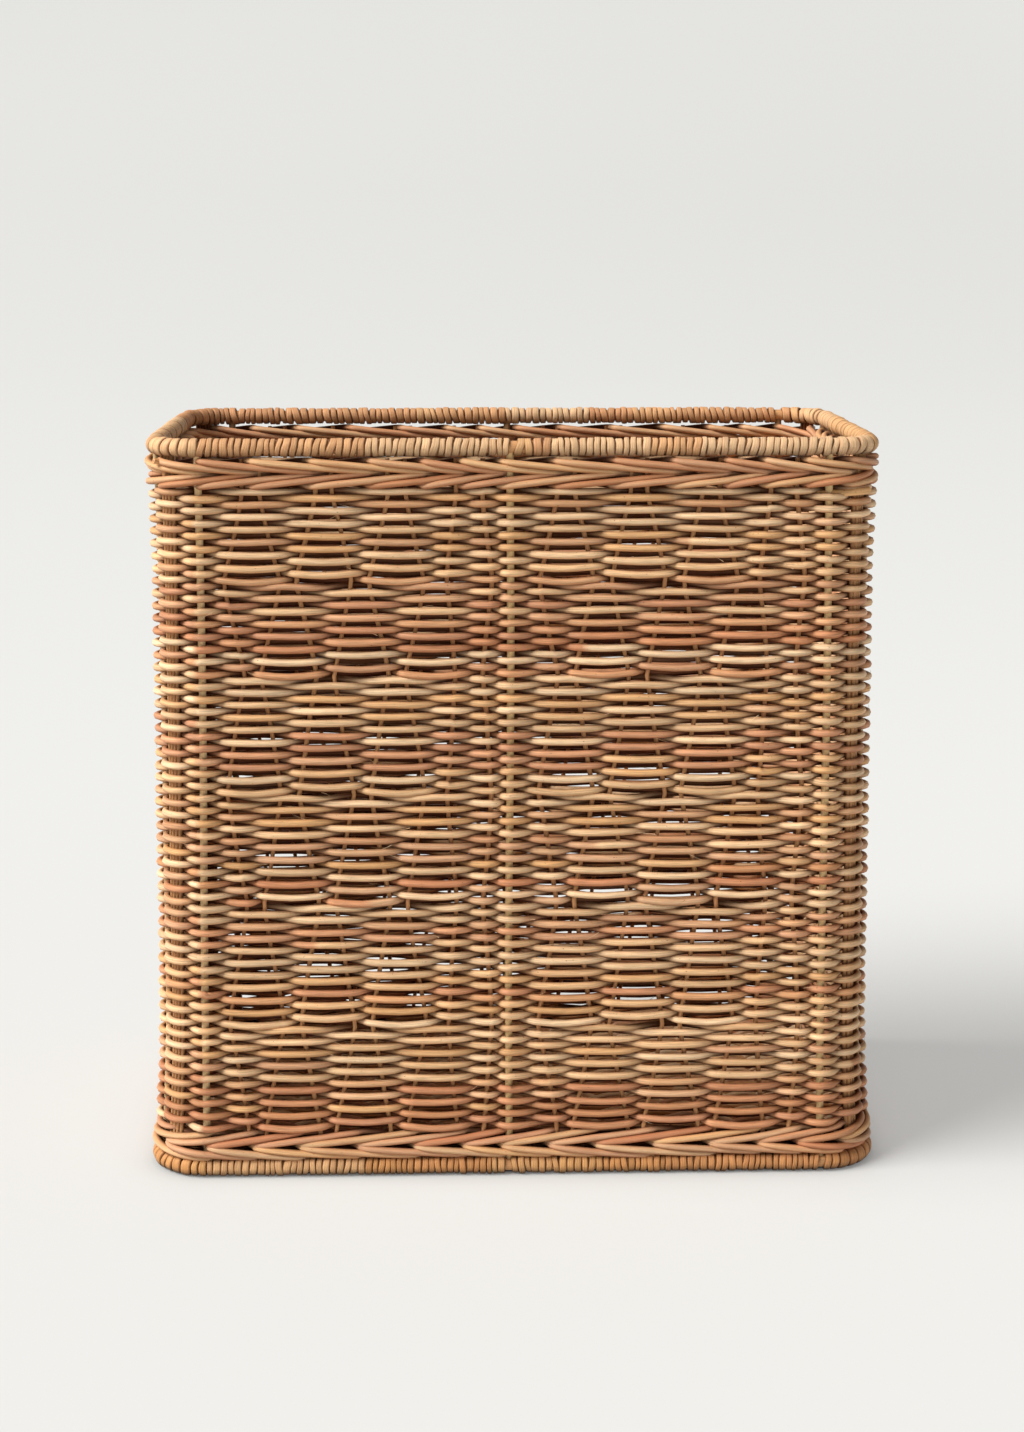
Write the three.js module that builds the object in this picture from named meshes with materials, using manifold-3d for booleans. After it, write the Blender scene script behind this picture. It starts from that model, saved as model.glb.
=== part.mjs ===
// A rectangular rattan wastebasket with rounded corners, in millimetres, +Z up.
// Origin: centre of the footprint on the floor. +X runs along the wide front, +Y to the back.
//
// Two round hoops, each bound in split cane, are held apart by ten upright posts and a bundle of
// thin stakes in each corner. More thin stakes fill the walls between the posts. They lean to and
// fro in a zigzag, run down one wall, across the base and up the opposite wall. Six tiers of
// round-reed weaving go round them, with a two-row wale above and another below.
// The woven bands are plain skins here: one outside and one inside the stakes, joined by webs.

import * as THREE from "three";
import Module from "manifold-3d";
import { mergeVertices } from "three/addons/utils/BufferGeometryUtils.js";

// ---- Driving dimensions ----
const WIDTH = 306; // over the top rim
const DEPTH = 168; // over the top rim
const HEIGHT = 312;
const RIM_RADIUS = 3.7; // over the cane binding
const CORE_RADIUS = 2.6; // the bent pole inside the binding
const BINDING_SLOT = 100; // degrees of the binding left open for the uprights
const CORNER_RADIUS = 19.5; // of the rim's centreline
const ARC_STEPS = 4; // facets in each corner
const ROUND_SIDES = 8; // flats round a pole or a post
const STAKE_SIDES = 5;
const POST_RADIUS = 1.7;
const STAKE_RADIUS = 1.0;
const CLEAR = 0.3; // between pieces that touch

// The wall's profile: how far it stands inside the rim's centreline.
const FOOT_INSET = -1.8; // the bottom hoop is a little larger than the rim
const WAIST_INSET = 2.3; // the middle four tiers stand upright, drawn in from the hoops

// Weaving, counted from the top: rows of reed in each tier.
const TIER_ROWS = [14, 15, 19, 18, 20, 17];
const ROW_PITCH = 2.615;
const WEAVE_TOP = 288.8;
const SKIN_OUT = 4.4; // outer face of the weave, from the wall's middle
const SKIN_IN = 2.8; // inner face of each skin
const WALE_OUT = 5.4;
const WALE_SKIN_IN = 2.3;
const TOP_WALE_TOP = 304.0;
const BOTTOM_WALE_FOOT = 7.8;
const WEB_WIDTH = 2.4;

// Stakes: eight between each two posts. Shares are of the distance between the posts.
const STAKES_PER_BAY = 8;
const FIRST_STAKE_SHARE = 0.107;
const STAKE_SPACING_SHARE = 0.115;
const SWING = 4.0; // how far a stake leans to each side of its mean line
const LAST_SWING = 1.9; // the last two stakes of a bay lean less
const STAKES_PER_BUNDLE = 4; // at each corner
const BUNDLE_WAIST = 0.55; // half thickness where two stakes of a bundle meet, as a share of their radius
// How a stake turns in under the bottom wale: [in from the wall's middle, above its run across the base].
const STAKE_BEND = [
  [0.2, 6],
  [2.6, 1.7],
  [7, 0],
];

// Base: two crossing layers of stakes between two skins.
const LOWER_ROD_Z = 8.7; // front-to-back stakes
const UPPER_ROD_Z = 11.0; // left-to-right stakes
const MAT_SKIN = 1.4;
const MAT_LOWER_Z = 5.6;
const MAT_UPPER_Z = 12.4;
const MAT_MARGIN = 8; // from the wall's middle
const MAT_WEB = 2.4;
const MAT_WEB_ROWS = [-2, 0, 2]; // in stake spacings from the middle

// ---- Sizes that follow ----
const FOOT_Z = RIM_RADIUS; // centre of the bottom hoop
const RIM_Z = HEIGHT - RIM_RADIUS; // centre of the top hoop
const CORE_X = WIDTH / 2 - RIM_RADIUS - CORNER_RADIUS; // centres of the corner arcs
const CORE_Y = DEPTH / 2 - RIM_RADIUS - CORNER_RADIUS;
const TIER_EDGES = [WEAVE_TOP]; // heights where the stakes change partners, from the top
for (const rows of TIER_ROWS) TIER_EDGES.push(TIER_EDGES.at(-1) - rows * ROW_PITCH);
const WEAVE_FOOT = TIER_EDGES.at(-1);

const V = (x, y, z) => new THREE.Vector3(x, y, z);

/** How far inside the rim's centreline the middle of the wall stands at height z. */
function inset(z) {
  const lowest = TIER_EDGES.at(-2);
  const highest = TIER_EDGES[1];
  const below = Math.max((lowest - z) / (lowest - FOOT_Z), 0);
  const above = Math.max((z - highest) / (RIM_Z - highest), 0);
  const ease = (share) => Math.sqrt(1 - Math.min(share, 1));
  if (below > 0) return FOOT_INSET + (WAIST_INSET - FOOT_INSET) * ease(below);
  return WAIST_INSET * ease(above);
}

/** Distance from a corner's centre, or from the core rectangle, to the middle of the wall. */
const wallRadius = (z) => CORNER_RADIUS - inset(z);

/** Mean place of stake i (from 1), as a share of the distance between its bay's posts. */
const stakeShare = (i) => FIRST_STAKE_SHARE + STAKE_SPACING_SHARE * (i - 1);

// ---- Materials ----
function rattan(name, color, roughness) {
  const made = new THREE.MeshStandardMaterial({ color, roughness, metalness: 0 });
  made.name = name;
  return made;
}
const materials = {
  core: rattan("hoop_pole", 0xb89060, 0.6),
  binding: rattan("cane_binding", 0xcc9a64, 0.55),
  post: rattan("post_rattan", 0x9c8c5c, 0.5),
  stake: rattan("stake_rattan", 0x8e5a3a, 0.6),
  weaver: rattan("weaver_reed", 0xcf9f66, 0.55),
  wale: rattan("wale_reed", 0xc28e5c, 0.55),
  mat: rattan("base_reed", 0xc79560, 0.6),
};

// ---- Joining solids ----
const WELD = 1e-3; // corners nearer than this are one corner
const wasm = await Module();
wasm.setup();

function solid(geometry) {
  const plain = geometry.clone();
  plain.deleteAttribute("normal");
  plain.deleteAttribute("uv");
  const merged = mergeVertices(plain, WELD);
  const triVerts = new Uint32Array(merged.index.array);
  const vertProperties = merged.attributes.position.array;
  return new wasm.Manifold(new wasm.Mesh({ numProp: 3, vertProperties, triVerts }));
}

function geometryOf(manifold) {
  const { vertProperties, triVerts } = manifold.getMesh();
  return new THREE.BufferGeometry()
    .setAttribute("position", new THREE.BufferAttribute(new Float32Array(vertProperties), 3))
    .setIndex(new THREE.BufferAttribute(new Uint32Array(triVerts), 1));
}

// ---- Shapes ----
/** A path through points whose section keeps one side facing along normal. Steps fall on the points. */
class Route extends THREE.Curve {
  constructor(points, normal) {
    super();
    this.points = points;
    this.normal = normal;
  }
  get steps() {
    return this.points.length - 1;
  }
  getPoint(t) {
    const along = THREE.MathUtils.clamp(t, 0, 1) * this.steps;
    const i = Math.min(Math.floor(along), this.steps - 1);
    return this.points[i].clone().lerp(this.points[i + 1], along - i);
  }
  getPointAt(t) {
    return this.getPoint(t);
  }
  computeFrenetFrames() {
    const frames = { tangents: [], normals: [], binormals: [] };
    this.points.forEach((p, i) => {
      const tangent = V(0, 0, 0);
      if (i > 0) tangent.add(p.clone().sub(this.points[i - 1]).normalize());
      if (i < this.steps) tangent.add(this.points[i + 1].clone().sub(p).normalize());
      tangent.normalize();
      const normal = this.normal.clone();
      normal.addScaledVector(tangent, -tangent.dot(normal)).normalize();
      frames.tangents.push(tangent);
      frames.normals.push(normal);
      frames.binormals.push(tangent.clone().cross(normal));
    });
    return frames;
  }
}

/** A regular section with its corners at radius and flats square to its first axis. */
function section(radius, sides) {
  const corners = [];
  for (let i = 0; i < sides; i++) {
    const angle = ((i + 0.5) * 2 * Math.PI) / sides;
    corners.push(new THREE.Vector2(radius * Math.cos(angle), radius * Math.sin(angle)));
  }
  return new THREE.Shape(corners);
}

function sweep(shape, points, normal) {
  const route = new Route(points, normal);
  return new THREE.ExtrudeGeometry(shape, {
    steps: route.steps,
    bevelEnabled: false,
    extrudePath: route,
  });
}

/** The outline of the core rectangle grown by radius, anticlockwise from the back's middle. */
function outline(radius) {
  const points = [];
  const centres = [
    [-CORE_X, CORE_Y, 90],
    [-CORE_X, -CORE_Y, 180],
    [CORE_X, -CORE_Y, 270],
    [CORE_X, CORE_Y, 0],
  ];
  for (const [x, y, start] of centres) {
    for (let i = 0; i <= ARC_STEPS; i++) {
      const angle = THREE.MathUtils.degToRad(start + (90 * i) / ARC_STEPS);
      points.push(new THREE.Vector2(x + radius * Math.cos(angle), y + radius * Math.sin(angle)));
    }
  }
  return points;
}

/** Moves each point of a band, drawn at the rim's centreline, in to the wall at its own height. */
function followWall(geometry) {
  const at = geometry.attributes.position;
  for (let i = 0; i < at.count; i++) {
    const x = at.getX(i);
    const y = at.getY(i);
    const nearX = THREE.MathUtils.clamp(x, -CORE_X, CORE_X);
    const nearY = THREE.MathUtils.clamp(y, -CORE_Y, CORE_Y);
    const away = Math.hypot(x - nearX, y - nearY);
    const share = (away - inset(at.getZ(i))) / away;
    at.setXY(i, nearX + (x - nearX) * share, nearY + (y - nearY) * share);
  }
  return geometry;
}

/** One skin of a woven band, between two distances from the wall's middle. */
function skin(low, high, outFace, inFace) {
  const shape = new THREE.Shape(outline(CORNER_RADIUS + outFace));
  shape.holes.push(new THREE.Path(outline(CORNER_RADIUS + inFace).reverse()));
  const geometry = new THREE.ExtrudeGeometry(shape, { depth: high - low, bevelEnabled: false });
  return followWall(geometry.translate(0, 0, low));
}

/** An upright bar between the two skins at (x, y) on the rim's centreline. */
function web(x, y, low, high, reach) {
  const onSide = Math.abs(x) > CORE_X;
  const sizeX = onSide ? 2 * reach : WEB_WIDTH;
  const sizeY = onSide ? WEB_WIDTH : 2 * reach;
  const geometry = new THREE.BoxGeometry(sizeX, sizeY, high - low);
  return followWall(geometry.translate(x, y, (low + high) / 2));
}

/** A woven band: an outer and an inner skin, joined by a web in the middle of every bay. */
function wovenBand(low, high, outFace, inFace) {
  const middle = 0.5 * (stakeShare(STAKES_PER_BAY / 2) + stakeShare(STAKES_PER_BAY / 2 + 1));
  const sideX = CORE_X + CORNER_RADIUS;
  const faceY = CORE_Y + CORNER_RADIUS;
  const sideY = (2 * middle - 1) * CORE_Y;
  const webReach = (outFace + inFace) / 2;
  let band = solid(skin(low, high, outFace, inFace));
  band = band.add(solid(skin(low, high, -inFace, -outFace)));
  const places = [
    [-sideX, sideY],
    [sideX, sideY],
  ];
  for (const y of [-faceY, faceY]) {
    places.push([(middle - 1) * CORE_X, y], [middle * CORE_X, y]);
  }
  for (const [x, y] of places) {
    band = band.add(solid(web(x, y, low + CLEAR, high - CLEAR, webReach)));
  }
  return geometryOf(band);
}

// ---- Assembly ----
const basket = new THREE.Group();
basket.name = "rattan_wastebasket";

function add(name, geometry, material) {
  const mesh = new THREE.Mesh(geometry, material);
  mesh.name = name;
  basket.add(mesh);
}

// ---- Hoops: a pole bent round with its ends meeting at the back, bound in cane ----
/** A hoop's centreline, opened by CLEAR at the middle of the back. */
function hoopPoints(z) {
  const radius = wallRadius(z);
  const y = CORE_Y + radius;
  const loop = outline(radius).map((p) => V(p.x, p.y, z));
  return [V(-CLEAR / 2, y, z), ...loop, V(CLEAR / 2, y, z)];
}

/** The binding's eight-sided section, slotted where the uprights meet the pole: facing 1 up, -1 down. */
function bindingSection(facing) {
  const flat = 45; // degrees
  const angles = [BINDING_SLOT / 2];
  for (let corner = 1.5 * flat; corner < 360 - flat; corner += flat) angles.push(corner);
  angles.push(360 - BINDING_SLOT / 2);
  const ring = (apothem) =>
    angles.map((degrees) => {
      const facetMiddle = Math.round(degrees / flat) * flat;
      const off = THREE.MathUtils.degToRad(Math.min(Math.abs(degrees - facetMiddle), flat / 2));
      const radius = apothem / Math.cos(off);
      const angle = THREE.MathUtils.degToRad(degrees);
      return new THREE.Vector2(facing * radius * Math.cos(angle), radius * Math.sin(angle));
    });
  const points = [...ring(RIM_RADIUS), ...ring(CORE_RADIUS + CLEAR).reverse()];
  return new THREE.Shape(facing > 0 ? points : points.reverse());
}

const UP = V(0, 0, 1);
const poleSection = section(CORE_RADIUS, ROUND_SIDES);
add("top_hoop_core", sweep(poleSection, hoopPoints(RIM_Z), UP), materials.core);
add("top_hoop_binding", sweep(bindingSection(-1), hoopPoints(RIM_Z), UP), materials.binding);
add("bottom_hoop_core", sweep(poleSection, hoopPoints(FOOT_Z), UP), materials.core);
add("bottom_hoop_binding", sweep(bindingSection(1), hoopPoints(FOOT_Z), UP), materials.binding);

// ---- Uprights that stand between the two hoops ----
const UPRIGHT_FOOT = FOOT_Z + CORE_RADIUS + CLEAR;
const UPRIGHT_TOP = RIM_Z - CORE_RADIUS - CLEAR;
const UPRIGHT_LEVELS = [
  UPRIGHT_FOOT,
  (UPRIGHT_FOOT + WEAVE_FOOT) / 2,
  WEAVE_FOOT,
  TIER_EDGES.at(-2),
  HEIGHT / 2,
  TIER_EDGES[1],
  WEAVE_TOP,
  UPRIGHT_TOP,
];

/** The middle line of an upright that leaves the core rectangle at (x, y), facing the given way. */
function uprightPoints(x, y, degrees) {
  const angle = THREE.MathUtils.degToRad(degrees);
  return UPRIGHT_LEVELS.map((z) => {
    const away = wallRadius(z);
    return V(x + away * Math.cos(angle), y + away * Math.sin(angle), z);
  });
}

/** Sweeps a section up the wall, with the section's first axis along the wall. */
function upright(shape, x, y, degrees) {
  const along = THREE.MathUtils.degToRad(degrees + 90);
  return sweep(shape, uprightPoints(x, y, degrees), V(Math.cos(along), Math.sin(along), 0));
}

/** Thin stakes side by side, as one section: a row of rounds that run into each other. */
function bundleSection() {
  const half = (STAKES_PER_BUNDLE - 1) * STAKE_RADIUS;
  const waist = STAKE_RADIUS * BUNDLE_WAIST;
  const upper = [];
  for (let i = 0; i < STAKES_PER_BUNDLE; i++) {
    const middle = half - 2 * i * STAKE_RADIUS;
    if (i > 0) upper.push(new THREE.Vector2(middle + STAKE_RADIUS, waist));
    upper.push(new THREE.Vector2(middle, STAKE_RADIUS));
  }
  const lower = upper.map((p) => new THREE.Vector2(-p.x, -p.y));
  const tip = half + STAKE_RADIUS;
  return new THREE.Shape([new THREE.Vector2(tip, 0), ...upper, new THREE.Vector2(-tip, 0), ...lower]);
}

const postSection = section(POST_RADIUS, ROUND_SIDES);
add("front_centre_post", upright(postSection, 0, -CORE_Y, 270), materials.post);
add("back_centre_post", upright(postSection, 0, CORE_Y, 90), materials.post);
const corners = [
  { name: "front_left", x: -CORE_X, y: -CORE_Y, face: 270, corner: 225, side: 180 },
  { name: "front_right", x: CORE_X, y: -CORE_Y, face: 270, corner: 315, side: 0 },
  { name: "back_right", x: CORE_X, y: CORE_Y, face: 90, corner: 45, side: 0 },
  { name: "back_left", x: -CORE_X, y: CORE_Y, face: 90, corner: 135, side: 180 },
];
for (const { name, x, y, face, corner, side } of corners) {
  add(`${name}_face_post`, upright(postSection, x, y, face), materials.post);
  add(`${name}_side_post`, upright(postSection, x, y, side), materials.post);
  add(`${name}_corner_stakes`, upright(bundleSection(), x, y, corner), materials.stake);
}

// ---- Thin stakes: down one wall, across the base, up the other ----
/** Where stake i (from 1) stands at tier edge k, in a bay from start that is length long. */
function stakeStation(start, length, i, k) {
  const side = (i + k) % 2 === 0 ? -1 : 1;
  const swing = i > STAKES_PER_BAY - 2 ? LAST_SWING : SWING;
  return start + length * stakeShare(i) + side * swing;
}

/** The stake's line as points (along, away, z). away is how far it stands from the core rectangle. */
function stakeHalf(start, length, i, rodZ) {
  const foot = wallRadius(WEAVE_FOOT);
  const last = stakeStation(start, length, i, TIER_ROWS.length);
  const wall = TIER_EDGES.map((z, k) => [stakeStation(start, length, i, k), wallRadius(z), z]);
  const top = [wall[0][0], wallRadius(UPRIGHT_TOP), UPRIGHT_TOP];
  const bend = STAKE_BEND.map(([inward, above]) => [last, foot - inward, rodZ + above]);
  return [top, ...wall, ...bend];
}

const stakeSection = section(STAKE_RADIUS, STAKE_SIDES);

for (const [bay, start] of [["left", -CORE_X], ["right", 0]]) {
  for (let i = 1; i <= STAKES_PER_BAY; i++) {
    const half = stakeHalf(start, CORE_X, i, LOWER_ROD_Z);
    const front = half.map(([x, away, z]) => V(x, -CORE_Y - away, z));
    const back = half.map(([x, away, z]) => V(x, CORE_Y + away, z)).reverse();
    add(`${bay}_stake_${i}`, sweep(stakeSection, [...front, ...back], V(1, 0, 0)), materials.stake);
  }
}
for (let i = 1; i <= STAKES_PER_BAY; i++) {
  const half = stakeHalf(-CORE_Y, 2 * CORE_Y, i, UPPER_ROD_Z);
  const left = half.map(([y, away, z]) => V(-CORE_X - away, y, z));
  const right = half.map(([y, away, z]) => V(CORE_X + away, y, z)).reverse();
  add(`side_stake_${i}`, sweep(stakeSection, [...left, ...right], V(0, 1, 0)), materials.stake);
}

// ---- Woven bands ----
TIER_ROWS.forEach((rows, k) => {
  const low = TIER_EDGES[k + 1] + CLEAR / 2;
  const high = TIER_EDGES[k] - CLEAR / 2;
  add(`weave_tier_${k + 1}`, wovenBand(low, high, SKIN_OUT, SKIN_IN), materials.weaver);
});

const TOP_WALE_MIDDLE = (WEAVE_TOP + TOP_WALE_TOP) / 2;
const topWales = [
  ["top_wale_upper", TOP_WALE_MIDDLE + CLEAR / 2, TOP_WALE_TOP],
  ["top_wale_lower", WEAVE_TOP + CLEAR / 2, TOP_WALE_MIDDLE - CLEAR / 2],
];
for (const [name, low, high] of topWales) {
  add(name, wovenBand(low, high, WALE_OUT, WALE_SKIN_IN), materials.wale);
}

// the stakes turn in under the bottom wale, so it stays outside them
const BOTTOM_WALE_MIDDLE = (WEAVE_FOOT + BOTTOM_WALE_FOOT) / 2;
const bottomWales = [
  ["bottom_wale_upper", BOTTOM_WALE_MIDDLE + CLEAR / 2, WEAVE_FOOT - CLEAR / 2],
  ["bottom_wale_lower", BOTTOM_WALE_FOOT, BOTTOM_WALE_MIDDLE - CLEAR / 2],
];
for (const [name, low, high] of bottomWales) {
  add(name, skin(low, high, WALE_OUT, WALE_SKIN_IN), materials.wale);
}

// ---- Base mat: two skins joined by webs that pass between the crossing stakes ----
function matSkin(z) {
  const shape = new THREE.Shape(outline(wallRadius(MAT_UPPER_Z) - MAT_MARGIN));
  return new THREE.ExtrudeGeometry(shape, { depth: MAT_SKIN, bevelEnabled: false }).translate(0, 0, z);
}

let mat = solid(matSkin(MAT_LOWER_Z)).add(solid(matSkin(MAT_UPPER_Z)));
const webHeight = MAT_UPPER_Z - MAT_LOWER_Z;
for (const x of [-CORE_X, 0, CORE_X]) {
  for (const row of MAT_WEB_ROWS) {
    const pillar = new THREE.BoxGeometry(MAT_WEB, MAT_WEB, webHeight);
    const y = row * 2 * CORE_Y * STAKE_SPACING_SHARE;
    mat = mat.add(solid(pillar.translate(x, y, (MAT_LOWER_Z + MAT_UPPER_Z + MAT_SKIN) / 2)));
  }
}
add("base_mat", geometryOf(mat), materials.mat);

export default basket;
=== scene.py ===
import math

import bpy
import numpy as np
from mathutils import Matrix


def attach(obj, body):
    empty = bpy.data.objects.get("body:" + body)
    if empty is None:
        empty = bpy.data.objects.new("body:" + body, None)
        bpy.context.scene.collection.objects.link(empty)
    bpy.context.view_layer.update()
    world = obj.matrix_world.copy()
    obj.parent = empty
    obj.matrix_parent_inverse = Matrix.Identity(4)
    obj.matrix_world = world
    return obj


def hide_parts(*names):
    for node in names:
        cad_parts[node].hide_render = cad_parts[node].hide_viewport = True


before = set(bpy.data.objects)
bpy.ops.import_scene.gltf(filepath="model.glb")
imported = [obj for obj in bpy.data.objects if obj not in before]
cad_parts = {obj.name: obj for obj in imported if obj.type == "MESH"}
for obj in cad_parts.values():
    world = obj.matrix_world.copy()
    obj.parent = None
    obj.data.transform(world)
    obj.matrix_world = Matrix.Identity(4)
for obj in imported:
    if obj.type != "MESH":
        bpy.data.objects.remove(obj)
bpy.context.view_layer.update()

MM = 0.001
rng = np.random.default_rng(374)

# ---- Sizes, in millimetres, as in the CAD ----
WIDTH, DEPTH, HEIGHT = 306.0, 168.0, 312.0
RIM_RADIUS = 3.7
CORE_RADIUS = 2.6
CORNER_RADIUS = 19.5
POST_RADIUS = 1.6
STAKE_RADIUS = 0.95
REED_RADIUS = 1.54
FOOT_INSET, WAIST_INSET = -1.8, 2.3
TIER_ROWS = [14, 15, 19, 18, 20, 17]
ROW_PITCH = 2.615
WEAVE_TOP = 288.8
FOOT_Z, RIM_Z = RIM_RADIUS, HEIGHT - RIM_RADIUS
CORE_X = WIDTH / 2 - RIM_RADIUS - CORNER_RADIUS
CORE_Y = DEPTH / 2 - RIM_RADIUS - CORNER_RADIUS
STAKES_PER_BAY = 8
FIRST_STAKE_SHARE, STAKE_SPACING_SHARE = 0.107, 0.115
SWING, LAST_SWING = 4.0, 1.9

TIER_EDGES = [WEAVE_TOP]
for tier_rows in TIER_ROWS:
    TIER_EDGES.append(TIER_EDGES[-1] - tier_rows * ROW_PITCH)
WEAVE_FOOT = TIER_EDGES[-1]

# ---- The wall: s runs anticlockwise from the left end of the front, seen from above ----
ARC = CORNER_RADIUS * math.pi / 2
LENGTHS = [2 * CORE_X, ARC, 2 * CORE_Y, ARC, 2 * CORE_X, ARC, 2 * CORE_Y, ARC]
STARTS = np.concatenate([[0.0], np.cumsum(LENGTHS)])
ROUND = float(STARTS[-1])
CORNERS = [(-CORE_X, -CORE_Y), (CORE_X, -CORE_Y), (CORE_X, CORE_Y), (-CORE_X, CORE_Y)]


def core_and_out(s):
    """The point of the core rectangle nearest to the wall at s, and the way out from it."""
    s = np.mod(s, ROUND)
    part = np.clip(np.searchsorted(STARTS, s, side="right") - 1, 0, 7)
    along = s - STARTS[part]
    corner = np.array(CORNERS)
    side = part // 2
    a, b = corner[side], corner[(side + 1) % 4]
    straight = part % 2 == 0
    length = np.where(side % 2 == 0, 2 * CORE_X, 2 * CORE_Y)
    share = np.where(straight, along / length, 1.0)[:, None]
    core = a + (b - a) * share
    angle = np.radians(-90 + 90 * side) + np.where(straight, 0, along / CORNER_RADIUS)
    return core, np.stack([np.cos(angle), np.sin(angle)], 1)


def inset(z):
    """How far in the wall's middle stands at height z."""
    lowest, highest = TIER_EDGES[-2], TIER_EDGES[1]
    below = np.clip((lowest - z) / (lowest - FOOT_Z), 0, 1)
    above = np.clip((z - highest) / (RIM_Z - highest), 0, 1)
    low = FOOT_INSET + (WAIST_INSET - FOOT_INSET) * np.sqrt(1 - below)
    return np.where(below > 0, low, WAIST_INSET * np.sqrt(1 - above))


def wall(s, z, off):
    """Points at s and height z that stand off from the middle of the wall."""
    s, z, off = np.broadcast_arrays(np.asarray(s, float), np.asarray(z, float), off)
    core, out = core_and_out(s.ravel())
    away = (CORNER_RADIUS - inset(z.ravel()) + off.ravel())[:, None]
    return np.column_stack([core + out * away, z.ravel()])


def s_of(face, at):
    """s of a place on a face, from its x (front, back) or y (left, right)."""
    if face == "front":
        return STARTS[0] + at + CORE_X
    if face == "right":
        return STARTS[2] + at + CORE_Y
    if face == "back":
        return STARTS[4] + CORE_X - at
    return STARTS[6] + CORE_Y - at


def station(start, length, i, z):
    """Where stake i of a bay stands at height z."""
    edges = np.array(TIER_EDGES)
    sides = np.array([-1.0 if (i + k) % 2 == 0 else 1.0 for k in range(len(edges))])
    swing = LAST_SWING if i > STAKES_PER_BAY - 2 else SWING
    share = FIRST_STAKE_SHARE + STAKE_SPACING_SHARE * (i - 1)
    lean = np.interp(-np.asarray(z, float), -edges, sides)
    return start + length * share + swing * lean


BAYS = [
    ("front", -CORE_X, CORE_X),
    ("front", 0.0, CORE_X),
    ("right", -CORE_Y, 2 * CORE_Y),
    ("back", 0.0, CORE_X),
    ("back", -CORE_X, CORE_X),
    ("left", -CORE_Y, 2 * CORE_Y),
]
ODD_GROUPS = [(1, 2), (3, 4), (5, 6), (7,), (8,)]
EVEN_GROUPS = [(1,), (2, 3), (4, 5), (6, 7), (8,)]
POST_PLACES = [
    ("front", -CORE_X, "front_left_face_post"),
    ("front", -2.2, "front_centre_post"),
    ("front", CORE_X, "front_right_face_post"),
    ("right", -CORE_Y, "front_right_side_post"),
    ("right", CORE_Y, "back_right_side_post"),
    ("back", CORE_X, "back_right_face_post"),
    ("back", 0.0, "back_centre_post"),
    ("back", -CORE_X, "back_left_face_post"),
    ("left", CORE_Y, "back_left_side_post"),
    ("left", -CORE_Y, "front_left_side_post"),
]
CORNER_PLACES = [
    (STARTS[1] + ARC / 2, "front_right_corner_stakes"),
    (STARTS[3] + ARC / 2, "back_right_corner_stakes"),
    (STARTS[5] + ARC / 2, "back_left_corner_stakes"),
    (STARTS[7] + ARC / 2, "front_left_corner_stakes"),
]
BUNDLE_HALF = 3.0  # half the width of a corner's four stakes, as far as the reeds see it


def contacts(k, z):
    """For tier k, where each group of uprights starts and ends at height z, and its radius."""
    groups = []
    for face, at, _name in POST_PLACES:
        groups.append((s_of(face, at), s_of(face, at), POST_RADIUS))
    for middle, _name in CORNER_PLACES:
        groups.append((middle - BUNDLE_HALF, middle + BUNDLE_HALF, STAKE_RADIUS))
    for face, start, length in BAYS:
        for members in ODD_GROUPS if k % 2 == 0 else EVEN_GROUPS:
            places = [float(s_of(face, station(start, length, i, z))) for i in members]
            groups.append((min(places), max(places), STAKE_RADIUS))
    return sorted(groups)


# ---- Mesh building ----
DEEP_SHADE = np.array([0.11, 0.028, 0.006])  # painted shade: how much of its colour a side deep in the weave keeps (also the floor of the grooves in the cane binding)
OPEN_FROM, OPEN_OVER = -1.3, 4.0  # mm from the wall's middle where a side starts to be open and its painted shade lifts, and over what
FACING_FROM = 0.8  # a side may turn this far past edge-on before it is closed off in the painted shade
UNDERSIDE_SHADE = np.array([0.42, 0.62, 0.74])  # painted shade: how much of its colour a side that faces down loses
UPPER_SIDE_SHADE = np.array([0.14, 0.26, 0.36])  # the same painted shade for a side that faces up, close under the next row
UNDERSIDE_FALL, UPPER_SIDE_FALL = 1.25, 2.2  # how fast that painted shade comes in as the side turns


def painted_weave_shade(depth, facing, down):
    """Painted shade: the colour factor of a point at depth from the wall's middle.

    It faces out (facing 1) or in (-1), and down (down 1) or up (-1).
    """
    seen_out = np.clip((depth - OPEN_FROM) / OPEN_OVER, 0, 1) * np.clip(facing + FACING_FROM, 0, 1)
    seen_in = np.clip((-depth - OPEN_FROM) / OPEN_OVER, 0, 1) * np.clip(-facing + FACING_FROM, 0, 1)
    share = np.maximum(seen_out, seen_in)[..., None]
    under = (np.clip(down, 0, 1) ** UNDERSIDE_FALL)[..., None]
    over = (np.clip(-down, 0, 1) ** UPPER_SIDE_FALL)[..., None]
    return (DEEP_SHADE + (1 - DEEP_SHADE) * share) * (1 - UNDERSIDE_SHADE * under) * (1 - UPPER_SIDE_SHADE * over)


TINY = 1e-12
END_TONE = 0.8  # how bright the flat end of a strand is


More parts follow.
